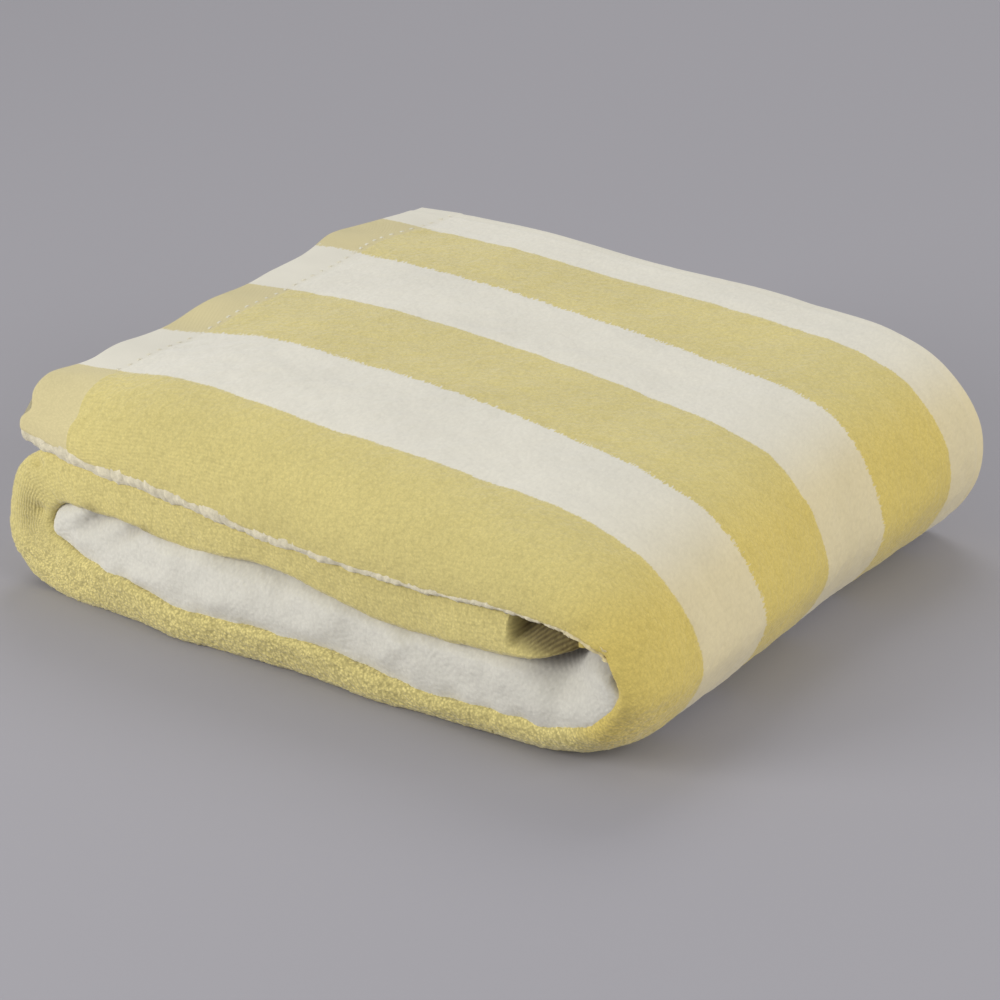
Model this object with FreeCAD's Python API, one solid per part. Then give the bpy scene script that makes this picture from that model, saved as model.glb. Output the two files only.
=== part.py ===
import FreeCAD, Part
import math
import os

# A striped terry beach towel, folded into a soft block and lying on a table.
# Millimetres. +X runs along the stripes, from the hemmed end to the big fold.
# +Y runs from the front long fold to the back edge. +Z is up.
# The origin is the middle of the footprint, at table height.

# --- driving dimensions ---------------------------------------------------
BLOCK_X = 336.0            # over the left and right folds
BLOCK_Y = 300.0            # front long fold to back edge
BLOCK_H = 108.0            # height of the folded block
PLY = 7.5                  # one thickness of terry, pile included
STRIP = 2.0 * PLY          # the folded strip is two plies thick
PLY_GAP = 0.4              # air between two plies
STRIPE = 56.0              # width of one stripe
STRIPE_GAP = 0.2           # line between two stripes
FIRST_LINE = -114.0        # end of the front stripe, measured in Y
FLAP_R = 34.0              # bend of the top layer's drooping front
HEM_X = 28.0               # width of the flat-woven end hem
HEM_DROP = 1.4             # the hem is thinner than the pile
TOP_LEFT_X = -165.0        # hem edge of the top layer
LIP = 3.0                  # how far the lower ply shows beyond the hem
CORE_TOP = 91.0            # top of the core's upper layer
CORE_LOW = 42.0            # underside of the core's lower layer
CORE_X = 112.0             # centre of the core's end fold
CORE_FLAP_R = 16.0         # bend of the core's drooping front
PUFF_TOP = 40.0            # top of the loose white layer
JOINT_HALF = 0.35          # degrees left open each side of a fold line
SIDE_HEM = 9.0             # width of the stitched side hem

# --- derived --------------------------------------------------------------
FRONT_Y = -0.5 * BLOCK_Y
BACK_Y = 0.5 * BLOCK_Y
RIGHT_R = 0.5 * BLOCK_H
RIGHT_X = 0.5 * BLOCK_X - RIGHT_R
LEFT_R = 0.5 * CORE_TOP       # outside radius of the left fold
LEFT_X = -0.5 * BLOCK_X + LEFT_R
CORE_R = 0.5 * (CORE_TOP - CORE_LOW)
LINES = [FIRST_LINE + STRIPE * i for i in range(5)]
HEM_Y = BACK_Y - SIDE_HEM
FOLD_LINES = [67.5, 22.5, -22.5, -67.5]


def vec(x, y, z):
    return FreeCAD.Vector(x, y, z)


def save(name, solids):
    shape = solids[0] if len(solids) == 1 else Part.makeCompound(solids)
    shape.exportStep("parts/" + name + ".step")


def slab(x0, x1, y0, y1, z0, z1):
    return Part.makeBox(x1 - x0, y1 - y0, z1 - z0, vec(x0, y0, z0))


def soft(solid, radius):
    """Round every edge, as a stack of cloth would be."""
    return solid.makeFillet(radius, solid.Edges)


# --- ring pieces: cloth turning round a fold ------------------------------
def ring_point(cx, cz, side, radius, angle, y):
    a = math.radians(angle)
    return vec(cx + side * radius * math.cos(a), y, cz + radius * math.sin(a))


def ring_block(cx, cz, side, r_out, r_in, a0, a1, y0, y1):
    mid = 0.5 * (a0 + a1)
    p = [ring_point(cx, cz, side, r_out, a, y0) for a in (a0, mid, a1)]
    q = [ring_point(cx, cz, side, r_in, a, y0) for a in (a0, mid, a1)]
    outer = Part.Arc(p[0], p[1], p[2]).toShape()
    inner = Part.Arc(q[2], q[1], q[0]).toShape()
    end = Part.makeLine(p[2], q[2])
    start = Part.makeLine(q[0], p[0])
    face = Part.Face(Part.Wire([outer, end, inner, start]))
    return face.extrude(vec(0, y1 - y0, 0))


# --- the front stripe: it droops, then turns back under at the long fold --
def tail_for(turn):
    """Straight length after the bend that brings the edge to FRONT_Y."""
    reach = FIRST_LINE - FRONT_Y - PLY
    return (reach - (FLAP_R - PLY) * math.sin(turn)) / math.cos(turn)


def flap_point(rho, angle, extra, depth):
    """A point (y, depth) on the flap: round the bend, then straight on."""
    y = FIRST_LINE - rho * math.sin(angle) - extra * math.cos(angle)
    d = rho * (1.0 - math.cos(angle)) + extra * math.sin(angle)
    return (y + depth * math.sin(angle), d + depth * math.cos(angle))


def flap_wire(put, rho, turn_deg, tail):
    """Closed outline of the flap; put(y, depth) places a point in space."""
    turn = math.radians(turn_deg)
    p = [flap_point(rho, a, 0.0, 0.0) for a in (0.0, 0.5 * turn, turn)]
    q = [flap_point(rho, a, 0.0, STRIP) for a in (0.0, 0.5 * turn, turn)]
    p_end = flap_point(rho, turn, tail, 0.0)
    q_end = flap_point(rho, turn, tail, STRIP)
    nose = flap_point(rho, turn, tail + PLY, PLY)
    outer = Part.Arc(put(*p[0]), put(*p[1]), put(*p[2])).toShape()
    inner = Part.Arc(put(*q[2]), put(*q[1]), put(*q[0])).toShape()
    over = Part.makeLine(put(*p[2]), put(*p_end))
    round_end = Part.Arc(put(*p_end), put(*nose), put(*q_end)).toShape()
    under = Part.makeLine(put(*q_end), put(*q[2]))
    close = Part.makeLine(put(*q[0]), put(*p[0]))
    return Part.Wire([outer, over, round_end, under, inner, close])


def flat_put(x, z_top, sign=-1.0):
    return lambda y, d: vec(x, y, z_top + sign * d)


def ring_put(cx, cz, side, radius, angle):
    return lambda y, d: ring_point(cx, cz, side, radius - d, angle, y)


def loft(wires):
    return Part.makeLoft(wires, True, False)


def strip_flap(put, turn_deg):
    return flap_wire(put, FLAP_R, turn_deg, tail_for(math.radians(turn_deg)))


def top_turn(x):
    """The droop of the top layer: less at the hem, least at the big fold."""
    table = [(-170.0, 60.0), (-90.0, 65.0), (-20.0, 68.0), (60.0, 67.0), (RIGHT_X, 50.0)]
    for (xa, ta), (xb, tb) in zip(table, table[1:]):
        if x <= xb:
            return ta + (tb - ta) * (x - xa) / (xb - xa)
    return table[-1][1]


def fold_turn(angle):
    """Droop round the big fold: 50 degrees above, flat on the table."""
    return 0.5 + 49.5 * (0.5 + 0.5 * math.sin(math.radians(angle)))


# --- stripes --------------------------------------------------------------
def stripe_spans(colour, back=BACK_Y):
    """Y spans of the flat stripes; the first one after the front is white."""
    first = 0 if colour == "white" else 1
    edges = LINES + [back]
    spans = []
    for i in range(first, 5, 2):
        spans.append((edges[i] + STRIPE_GAP, edges[i + 1] - STRIPE_GAP))
    return spans


def flat_stripes(colour, x0, x1, z0, z1, back=BACK_Y):
    spans = stripe_spans(colour, back)
    return [slab(x0, x1, a, b, z0, z1) for a, b in spans]


def ring_stripes(colour, cx, cz, side, r_out, r_in, a0, a1, back=BACK_Y):
    return [
        ring_block(cx, cz, side, r_out, r_in, a0, a1, a, b)
        for a, b in stripe_spans(colour, back)
    ]


# --- top layer ------------------------------------------------------------
def top_layer():
    x0 = TOP_LEFT_X + HEM_X
    z_mid = BLOCK_H - PLY
    turn = FOLD_LINES[0] + JOINT_HALF
    stations = [x0, -100.0, -50.0, 0.0, 45.0, 75.0, 100.0, RIGHT_X]
    straight = loft([strip_flap(flat_put(x, BLOCK_H), top_turn(x)) for x in stations])
    curve = loft([right_section(a) for a in (90.0, 82.0, 75.0, turn)])
    save("top_front_stripe_yellow", [straight, curve])
    for colour in ("yellow", "white"):
        solids = flat_stripes(colour, x0, RIGHT_X, z_mid + PLY_GAP, BLOCK_H, HEM_Y)
        solids += right_ring(colour, 0.0, PLY - PLY_GAP, turn, 90.0, HEM_Y)
        save("top_stripes_" + colour, solids)
    lower = []
    left = TOP_LEFT_X - LIP
    for colour in ("yellow", "white"):
        lower += flat_stripes(colour, left, RIGHT_X, BLOCK_H - STRIP, z_mid)
        lower += right_ring(colour, PLY, STRIP, turn, 90.0)
    save("top_lower_ply", lower)
    z1 = BLOCK_H - HEM_DROP
    hem = slab(TOP_LEFT_X, RIGHT_X, HEM_Y, BACK_Y, z_mid + PLY_GAP, z1)
    save("top_side_hem", [hem, hem_ring(turn, 90.0)])


def right_section(angle):
    put = ring_put(RIGHT_X, RIGHT_R, 1.0, RIGHT_R, angle)
    return strip_flap(put, fold_turn(angle))


def right_ring(colour, d0, d1, a0, a1, back=BACK_Y):
    r_out = RIGHT_R - d0
    r_in = RIGHT_R - d1
    return ring_stripes(colour, RIGHT_X, RIGHT_R, 1.0, r_out, r_in, a0, a1, back)


def hem_ring(a0, a1):
    r_out = RIGHT_R - HEM_DROP
    r_in = RIGHT_R - PLY + PLY_GAP
    return ring_block(RIGHT_X, RIGHT_R, 1.0, r_out, r_in, a0, a1, HEM_Y, BACK_Y)


def top_hem():
    """Flat-woven end hem: same stripes, no pile, a little thinner."""
    x1 = TOP_LEFT_X + HEM_X - 0.4
    z1 = BLOCK_H - HEM_DROP
    z0 = BLOCK_H - PLY + PLY_GAP
    stations = [TOP_LEFT_X, -156.0, -147.0, x1]
    flap = loft([strip_flap(flat_put(x, z1), top_turn(x)) for x in stations])
    yellow = flat_stripes("yellow", TOP_LEFT_X, x1, z0, z1, HEM_Y)
    save("top_end_hem_yellow", [flap] + yellow)
    white = flat_stripes("white", TOP_LEFT_X, x1, z0, z1, HEM_Y)
    save("top_end_hem_white", white)


def hem_stitching():
    """One row of stitches along the inner edge of the end hem."""
    z = BLOCK_H - HEM_DROP + 0.55
    x = TOP_LEFT_X + HEM_X - 4.0
    stitches = []
    pitch = 6.0
    count = int((HEM_Y - FIRST_LINE - 6.0) / pitch)
    for i in range(count):
        start = vec(x, FIRST_LINE + 3.0 + i * pitch, z)
        stitches.append(Part.makeCylinder(0.5, 4.2, start, vec(0, 1, 0)))
    save("end_hem_stitching", stitches)


# --- right fold, in three stretches ---------------------------------------
def right_fold(name, a_high, a_low):
    high = a_high - JOINT_HALF
    low = a_low + JOINT_HALF
    steps = [high + (low - high) * i / 4.0 for i in range(5)]
    front = loft([right_section(a) for a in steps])
    yellow = right_ring("yellow", 0.0, PLY - PLY_GAP, low, high, HEM_Y)
    save(name + "_yellow", [front] + yellow)
    white = right_ring("white", 0.0, PLY - PLY_GAP, low, high, HEM_Y)
    save(name + "_white", white)
    save(name + "_side_hem", [hem_ring(low, high)])
    inner = []
    for colour in ("yellow", "white"):
        inner += right_ring(colour, PLY, STRIP, low, high)
    save(name + "_inner_ply", inner)


# --- bottom layer ---------------------------------------------------------
def bottom_layer():
    low = FOLD_LINES[3] - JOINT_HALF
    curve = loft([right_section(a) for a in (low, -75.0, -82.0, -90.0)])
    put_list = [flat_put(x, 0.0, 1.0) for x in (RIGHT_X, 0.0, LEFT_X)]
    straight = loft([strip_flap(put, 0.5) for put in put_list])
    save("bottom_front_stripe_yellow", [straight, curve])
    for colour in ("yellow", "white"):
        solids = flat_stripes(colour, LEFT_X, RIGHT_X, 0.0, PLY - PLY_GAP, HEM_Y)
        solids += right_ring(colour, 0.0, PLY - PLY_GAP, -90.0, low, HEM_Y)
        save("bottom_stripes_" + colour, solids)
    upper = []
    for colour in ("yellow", "white"):
        upper += flat_stripes(colour, LEFT_X, RIGHT_X, PLY, STRIP)
        upper += right_ring(colour, PLY, STRIP, -90.0, low)
    save("bottom_upper_ply", upper)
    hem = slab(LEFT_X, RIGHT_X, HEM_Y, BACK_Y, HEM_DROP, PLY - PLY_GAP)
    save("bottom_side_hem", [hem, hem_ring(-90.0, low)])


def puffy_layer():
    """The loose white inner face that shows as a slope at the front."""
    z0 = STRIP + 1.2
    back = BACK_Y - 5.0
    x = LEFT_X - 1.0
    low = vec(x, FRONT_Y + 5.0, z0)
    bulge = vec(x, FRONT_Y + 11.0, z0 + 15.0)
    high = vec(x, FRONT_Y + 30.0, PUFF_TOP)
    top_back = vec(x, back - 6.0, PUFF_TOP)
    round_back = vec(x, back, z0 + 13.0)
    low_back = vec(x, back - 2.0, z0)
    front = Part.Arc(low, bulge, high).toShape()
    rear = Part.Arc(top_back, round_back, low_back).toShape()
    top = Part.makeLine(high, top_back)
    under = Part.makeLine(low_back, low)
    face = Part.Face(Part.Wire([front, top, rear, under]))
    save("inner_white_layer", [face.extrude(vec(RIGHT_X + 1.0 - x, 0, 0))])


# --- left fold and core ---------------------------------------------------
def left_section(angle):
    """Front stripe round the left fold: from the core down to the table."""
    k = 0.5 + 0.5 * math.sin(math.radians(angle))
    k = k * k * (3.0 - 2.0 * k)
    rho = FLAP_R + (CORE_FLAP_R - FLAP_R) * k
    turn = 0.5 + 61.5 * k
    tail = 28.2 + (26.0 - 28.2) * k
    put = ring_put(LEFT_X, LEFT_R, -1.0, LEFT_R, angle)
    return flap_wire(put, rho, turn, tail)


def left_fold():
    steps = [90.0 - 22.5 * i for i in range(9)]
    front = loft([left_section(a) for a in steps])
    for colour in ("yellow", "white"):
        solids = ring_stripes(
            colour, LEFT_X, LEFT_R, -1.0, LEFT_R, LEFT_R - STRIP, -90.0, 90.0
        )
        if colour == "yellow":
            solids.append(front)
        save("left_fold_" + colour, solids)


def core_flap(x, turn, tail):
    return flap_wire(flat_put(x, CORE_TOP), CORE_FLAP_R, turn, tail)


def core_upper():
    """The layer under the top one; its front edge shows below the droop."""
    shape = [
        (LEFT_X, 62.0, 26.0),
        (-100.0, 63.0, 31.0),
        (-66.0, 64.0, 33.0),
        (0.0, 64.0, 34.0),
        (60.0, 64.0, 33.0),
        (86.0, 62.0, 24.0),
        (101.0, 45.0, 6.0),
        (CORE_X, 22.0, 0.5),
    ]
    front = loft([core_flap(x, turn, tail) for x, turn, tail in shape])
    z0 = CORE_TOP - STRIP
    yellow = flat_stripes("yellow", LEFT_X, CORE_X, z0, CORE_TOP)
    save("core_upper_layer_yellow", [front] + yellow)
    white = flat_stripes("white", LEFT_X, CORE_X, z0, CORE_TOP)
    save("core_upper_layer_white", white)


def core_end_fold():
    """The core turns back under itself at its right end."""
    cz = CORE_TOP - CORE_R
    r_in = CORE_R - STRIP
    solids = []
    for colour in ("yellow", "white"):
        solids += ring_stripes(colour, CORE_X, cz, 1.0, CORE_R, r_in, -90.0, 90.0)
    save("core_end_fold", solids)
    wires = []
    for angle in (90.0, 60.0, 30.0, 0.0, -30.0, -60.0, -90.0):
        put = ring_put(CORE_X, cz, 1.0, CORE_R, angle)
        wires.append(flap_wire(put, CORE_FLAP_R, 22.0, 0.5))
    save("core_end_fold_front", [loft(wires)])


def core_lower():
    wires = []
    for x in (CORE_X, CORE_X - 18.0):
        put = flat_put(x, CORE_LOW, 1.0)
        wires.append(flap_wire(put, CORE_FLAP_R, 22.0, 0.5))
    y0 = FIRST_LINE + STRIPE_GAP
    flat = slab(-112.0, CORE_X, y0, BACK_Y - 2.0, CORE_LOW, CORE_LOW + STRIP)
    save("core_lower_layer", [loft(wires), flat])
    z0 = CORE_LOW + STRIP + 0.6
    z1 = CORE_TOP - STRIP - 0.8
    tail = slab(-118.0, 82.0, -104.0, BACK_Y - 6.0, z0, z1)
    save("core_tail", [soft(tail, 4.0)])
    hem = slab(82.4, 98.0, -102.0, BACK_Y - 8.0, z0 + 3.0, z1 - 4.0)
    save("core_end_hem", [soft(hem, 2.0)])


os.makedirs("parts", exist_ok=True)
top_layer()
top_hem()
hem_stitching()
right_fold("right_fold_upper", FOLD_LINES[0], FOLD_LINES[1])
right_fold("right_fold_middle", FOLD_LINES[1], FOLD_LINES[2])
right_fold("right_fold_lower", FOLD_LINES[2], FOLD_LINES[3])
bottom_layer()
puffy_layer()
left_fold()
core_upper()
core_end_fold()
core_lower()
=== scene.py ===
import math
import bpy
import numpy as np
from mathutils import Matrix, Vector


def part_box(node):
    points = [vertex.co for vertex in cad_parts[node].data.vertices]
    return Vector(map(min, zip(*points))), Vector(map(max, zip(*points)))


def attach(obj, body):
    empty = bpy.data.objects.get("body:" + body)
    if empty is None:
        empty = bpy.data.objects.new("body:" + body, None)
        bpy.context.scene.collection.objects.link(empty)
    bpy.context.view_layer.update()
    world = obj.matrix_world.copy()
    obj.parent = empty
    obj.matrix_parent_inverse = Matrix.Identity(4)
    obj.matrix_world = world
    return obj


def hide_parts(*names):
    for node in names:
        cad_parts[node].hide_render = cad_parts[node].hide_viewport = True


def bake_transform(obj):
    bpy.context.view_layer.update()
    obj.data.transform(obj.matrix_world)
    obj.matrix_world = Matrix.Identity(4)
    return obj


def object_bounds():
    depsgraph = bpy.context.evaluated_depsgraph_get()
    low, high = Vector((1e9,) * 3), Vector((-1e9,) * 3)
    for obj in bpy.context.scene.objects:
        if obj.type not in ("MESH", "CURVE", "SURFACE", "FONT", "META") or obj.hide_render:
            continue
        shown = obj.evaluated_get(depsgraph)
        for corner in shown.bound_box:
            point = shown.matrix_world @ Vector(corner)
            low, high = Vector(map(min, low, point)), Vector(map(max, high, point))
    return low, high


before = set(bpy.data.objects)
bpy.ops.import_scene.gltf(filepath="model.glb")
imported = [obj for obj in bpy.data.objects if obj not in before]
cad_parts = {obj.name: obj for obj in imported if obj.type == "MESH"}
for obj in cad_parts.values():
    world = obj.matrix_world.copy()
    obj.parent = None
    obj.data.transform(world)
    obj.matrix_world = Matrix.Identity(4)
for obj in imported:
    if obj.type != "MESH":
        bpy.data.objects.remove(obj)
cad_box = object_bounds()

# Everything below is worked out in millimetres and turned into metres when a mesh is made.
MM = 0.001


def box(node):
    """The low and the high corner of a CAD node."""
    low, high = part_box(node)
    return np.array(low) / MM, np.array(high) / MM


# The right fold turns about this centre. Its hinges lie on this radius, at these angles in degrees, and
# the cloth is cut between them.
HIGH = np.array(cad_box[1]) / MM
FOLD_R = HIGH[2] / 2
FOLD_X = HIGH[0] - FOLD_R
FOLD_Z = FOLD_R
CUT_ANGLES = (45.0, 0.0, -45.0)

# A reach from a hinge for each stretch, and a longer one for the flat top.
BEND_REACH = 11.5
TOP_BEND_REACH = 24.0

# Stripes: the first line is the back edge of the front stripe, and the rest follow one stripe apart.
LINE_COUNT = 5
FIRST_LINE = box("top_front_stripe_yellow")[1][1]
YELLOW_LOW, YELLOW_HIGH = box("top_stripes_yellow")
STRIPE = (YELLOW_HIGH[1] - YELLOW_LOW[1]) / 3
LINES = [FIRST_LINE + k * STRIPE for k in range(LINE_COUNT)]

# One ply with its pile, the air between two plies, the widths of the hems, and a stitch with its gap.
PLY = 6.4
AIR = 0.3
SIDE_HEM = 9.0
HEM_WIDTH = 27.0
STITCH = 7.0

# How far apart the mesh's points are: at the front rim, on open cloth, and where nothing shows.
FINE = 0.85
FIELD = 1.6
HIDDEN = 5.0
ALONG = FINE * 1.25
SHOWN_ROWS = [FIELD] * LINE_COUNT + [FINE]
REVERSE_ROWS = [HIDDEN * 0.6] * LINE_COUNT + [FINE]
BASE_ROWS = [HIDDEN * 0.7] * LINE_COUNT + [FINE]
SPLINE_POINTS = 4000

# ---------------------------------------------------------------- smooth curves and noise


def spline(points, step):
    """Evenly spaced rows along a smooth curve through the given rows.

    The spacing is measured in the first two columns.
    """
    p = np.array(points, float)
    gap = np.linalg.norm(np.diff(p[:, :2], axis=0), axis=1)
    t = np.concatenate([[0.0], np.cumsum(gap)])
    chord = np.diff(p, axis=0) / gap[:, None]
    share = (gap[:-1] / (gap[:-1] + gap[1:]))[:, None]
    slope = np.vstack([chord[:1], chord[:-1] * (1 - share) + chord[1:] * share, chord[-1:]])
    u = np.linspace(0, t[-1], SPLINE_POINTS)
    k = np.clip(np.searchsorted(t, u, side="right") - 1, 0, len(gap) - 1)
    h = gap[k][:, None]
    a = (u - t[k])[:, None] / h
    curve = (
        p[k] * (1 + 2 * a) * (1 - a) ** 2
        + p[k + 1] * a * a * (3 - 2 * a)
        + slope[k] * h * a * (1 - a) ** 2
        - slope[k + 1] * h * a * a * (1 - a)
    )
    moved = np.linalg.norm(np.diff(curve[:, :2], axis=0), axis=1)
    length = np.concatenate([[0.0], np.cumsum(moved)])
    s = np.linspace(0, length[-1], int(round(length[-1] / step)) + 1)
    rows = np.stack([np.interp(s, length, column) for column in curve.T], axis=1)
    return s, rows


def smooth(value, start, end):
    """An eased step: 0 at the start and beyond it, 1 at the end. The end may be below the start."""
    a = np.clip((value - start) / (end - start), 0, 1)
    return a * a * (3 - 2 * a)


def bump(value, centre, width):
    """1 at the centre, fading out on both sides."""
    return np.exp(-(((value - centre) / width) ** 2))


# Large odd numbers that scatter neighbouring places.
SCATTER_A = np.uint32(374761393)
SCATTER_B = np.uint32(668265263)
SCATTER_C = np.uint32(2246822519)
SCATTER_SEED = np.uint32(3266489917)
SCATTER_FIRST = np.uint32(1274126177)
SCATTER_LAST = np.uint32(2654435761)


def lattice(a, b, c, seed):
    """A repeatable random number from 0 to 1 for each whole-number place."""
    a, b, c = (np.asarray(v).astype(np.int64).astype(np.uint32) for v in (a, b, c))
    with np.errstate(over="ignore"):
        n = a * SCATTER_A + b * SCATTER_B + c * SCATTER_C
        n = n + np.uint32(seed) * SCATTER_SEED
        n = (n ^ (n >> np.uint32(13))) * SCATTER_FIRST
        n = (n ^ (n >> np.uint32(15))) * SCATTER_LAST
    return ((n >> np.uint32(8)) & np.uint32(0xFFFF)) / 65535.0


def noise(x, y, z=0.0, seed=0):
    """Smooth noise from -1 to 1 with about one bump per unit."""
    x, y, z = np.broadcast_arrays(x, y, z)
    base = [np.floor(v) for v in (x, y, z)]
    part = [v - f for v, f in zip((x, y, z), base)]
    fade = [v * v * (3 - 2 * v) for v in part]
    total = 0.0
    for i in (0, 1):
        for j in (0, 1):
            for k in (0, 1):
                weight = 1.0
                for on, f in zip((i, j, k), fade):
                    weight = weight * (f if on else 1 - f)
                total = total + weight * lattice(base[0] + i, base[1] + j, base[2] + k, seed)
    return 2 * total - 1


# How unevenly terry loops are set, as a share of their pitch.
LOOP_WANDER = 0.8


def loops(s, w, pitch, seed):
    """Height from 0 to 1 of terry loops: round tips a pitch apart, unevenly set."""
    a = s / pitch
    b = w / pitch
    nearest = np.full(np.shape(a), np.inf)
    for step_a in (-1, 0, 1):
        for step_b in (-1, 0, 1):
            cell_a = np.floor(a) + step_a
            cell_b = np.floor(b) + step_b
            tip_a = cell_a + 0.5 + LOOP_WANDER * (lattice(cell_a, cell_b, 1, seed) - 0.5)
            tip_b = cell_b + 0.5 + LOOP_WANDER * (lattice(cell_a, cell_b, 2, seed) - 0.5)
            nearest = np.minimum(nearest, (a - tip_a) ** 2 + (b - tip_b) ** 2)
    return 1 - np.clip(np.sqrt(nearest), 0, 1)


# ---------------------------------------------------------------- meshes


def make_mesh(name, verts, faces, skin, attributes):
    """A mesh of closed solids. Skin faces take their grid's smooth facing, and cut edges stay flat."""
    verts[:, 2] = np.maximum(verts[:, 2], 0.0)
    mesh = bpy.data.meshes.new(name)
    mesh.from_pydata((verts * MM).tolist(), [], faces)
    facing = attributes.pop("facing")
    for key, values in attributes.items():
        is_vector = values.ndim == 2
        layer = mesh.attributes.new(key, "FLOAT_VECTOR" if is_vector else "FLOAT", "POINT")
        layer.data.foreach_set("vector" if is_vector else "value", values.astype(np.float32).ravel())
    mesh.shade_smooth()
    mesh.update()
    sizes = np.array([len(face) for face in faces])
    corner = np.concatenate([np.array(face) for face in faces])
    flat = np.empty(len(faces) * 3, np.float32)
    mesh.polygons.foreach_get("normal", flat)
    flat = np.repeat(flat.reshape(-1, 3), sizes, axis=0)
    on_skin = np.repeat(skin, sizes)[:, None]
    mesh.normals_split_custom_set(np.where(on_skin, facing[corner], flat).tolist())
    return mesh


def facing_of(grid):
    """Unit normals of a grid of points, outwards for a sheet's stations and rows."""
    normal = np.cross(np.gradient(grid, axis=1), np.gradient(grid, axis=0))
    return normal / np.maximum(np.linalg.norm(normal, axis=-1), 1e-9)[..., None]


def join(solids):
    """Several closed solids as one vertex list, face list, list of skin faces and set of attributes."""
    verts = []
    faces = []
    skins = []
    attributes = {}
    start = 0
    for own_verts, own_faces, own_skin, own_attributes in solids:
        verts.append(own_verts)
        skins.append(own_skin)
        faces.extend([tuple(i + start for i in face) for face in own_faces])
        for key, values in own_attributes.items():
            attributes.setdefault(key, []).append(values)
        start += len(own_verts)
    joined = {key: np.concatenate(values) for key, values in attributes.items()}
    return np.vstack(verts), faces, np.concatenate(skins), joined


def flattened(values):
    """A grid of numbers or vectors as one list."""
    return values.reshape(-1, *values.shape[2:])


def slab(face, back, face_attributes, back_attributes):
    """A closed solid between two grids with the same number of stations. The face looks outwards."""
    stations, face_rows = face.shape[:2]
    back_rows = back.shape[1]
    f = np.arange(stations * face_rows).reshape(stations, face_rows)
    b = stations * face_rows + np.arange(stations * back_rows).reshape(stations, back_rows)
    skin_quads = [
        np.stack([f[:-1, :-1], f[:-1, 1:], f[1:, 1:], f[1:, :-1]], -1).reshape(-1, 4),
        np.stack([b[:-1, :-1], b[1:, :-1], b[1:, 1:], b[:-1, 1:]], -1).reshape(-1, 4),
    ]
    side_quads = [
        np.stack([f[:-1, -1], b[:-1, -1], b[1:, -1], f[1:, -1]], -1),
        np.stack([f[:-1, 0], f[1:, 0], b[1:, 0], b[:-1, 0]], -1),
    ]
    faces = [tuple(quad) for quad in np.vstack(skin_quads + side_quads).tolist()]
    faces.append(tuple(f[0, ::-1].tolist() + b[0].tolist()))
    faces.append(tuple(f[-1].tolist() + b[-1, ::-1].tolist()))
    skin = np.zeros(len(faces), bool)
    skin[: sum(len(quads) for quads in skin_quads)] = True
    attributes = {
        key: np.concatenate([flattened(values), flattened(back_attributes[key])])
        for key, values in face_attributes.items()
    }
    return np.vstack([flattened(face), flattened(back)]), faces, skin, attributes


# ---------------------------------------------------------------- the cloth

# Stations along the cloth, seen from the front, going clockwise. The wrap starts at the hem, and the base
# carries on from its end. Each row is
#   x, z of the outer face | x, z of the rolled front edge's lip | how far that roll runs back
#   | front and back y | radius of the lip | how far the pale reverse shows past the lip
WRAP = [
    (-166, 104, -166, 77, 22, -149, 146, 1.5, 4.8),
    (-135, 106, -135, 72, 34, -150, 146, 1.5, 5.4),
    (-100, 108, -100, 69.5, 40, -150, 146, 1.5, 5.2),
    (-20, 105, -20, 62.5, 44, -150, 146, 1.5, 3.2),
    (60, 98.5, 58, 61, 42, -150, 152, 1.5, 1.9),
    (110, 90.5, 104, 64, 40, -150, 155, 1.5, 1.6),
    (140, 79, 131, 62.5, 38, -150, 154, 1.5, 1.6),
    (160, 60, 149, 54.5, 38, -149, 152, 2.0, 1.2),
    (168.5, 37, 155, 40, 40, -149, 150, 3.0, 0.0),
    (163.5, 24, 149, 32, 39, -149, 150, 4.0, 0.0),
    (153, 11, 142, 24.5, 36, -149, 150, 4.0, 0.0),
    (137, 2.5, 132, 20.5, 30, -149, 150, 4.0, 0.0),
    (120, 0, 118, 17.5, 20, -149, 150, 4.0, 0.0),
    (92, 0, 92, 16.5, 14, -149, 150, 4.0, 0.0),
]
BASE = [
    (92, 0, 92, 16.5, 12, -149, 150, 4.0, 0.0),
    (45, 0, 45, 14, 7, -151, 150, 4.0, 0.0),
    (-8, 0, -8, 18.5, 8, -153, 149, 4.0, 0.0),
    (-66, 0, -66, 17, 6, -156, 149, 4.0, 0.0),
    (-115, 0, -112, 21.5, 6, -156, 149, 4.0, 0.0),
    (-154, 0.5, -138, 26.5, 6, -155, 149, 4.0, 0.0),
    (-172, 6.5, -147, 30.5, 6, -154, 149, 4.0, 0.0),
    (-181, 20, -151, 35, 6, -154, 149, 4.0, 0.0),
    (-182.5, 38, -153, 39, 6, -153, 149, 4.0, 0.0),
    (-177, 58, -151, 44, 7, -152, 149, 4.0, 0.0),
    (-161, 69, -145, 47.5, 8, -151, 149, 4.0, 0.0),
    (-130, 77, -122, 46, 10, -150, 149, 4.0, 0.0),
    (-88, 86, -86, 44, 14, -149.5, 149, 4.0, 0.0),
    (-30, 86, -30, 46, 16, -149, 149, 4.0, 0.0),
    (40, 79, 42, 38, 16, -149, 149, 4.0, 0.0),
    (80, 74, 79, 41, 16, -149, 149, 4.0, 0.0),
    (105, 72, 103, 43, 16, -149, 149, 4.0, 0.0),
    (124, 69, 120, 48, 14, -149, 149, 3.0, 0.0),
    (134, 64.5, 130, 52, 10, -147, 149, 3.0, 0.0),
    (139.5, 57, 131, 54, 8, -140, 149, 2.0, 0.0),
    (135, 49.5, 130, 55, 8, -128, 148, 2.0, 0.0),
    (120, 47, 119, 53, 6, -122, 148, 2.0, 0.0),
    (40, 46, 40, 52, 6, -118, 148, 2.0, 0.0),
    (-60, 48, -60, 54, 6, -118, 148, 2.0, 0.0),
]
FACE = slice(0, 2)
LIP = slice(2, 4)
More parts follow.
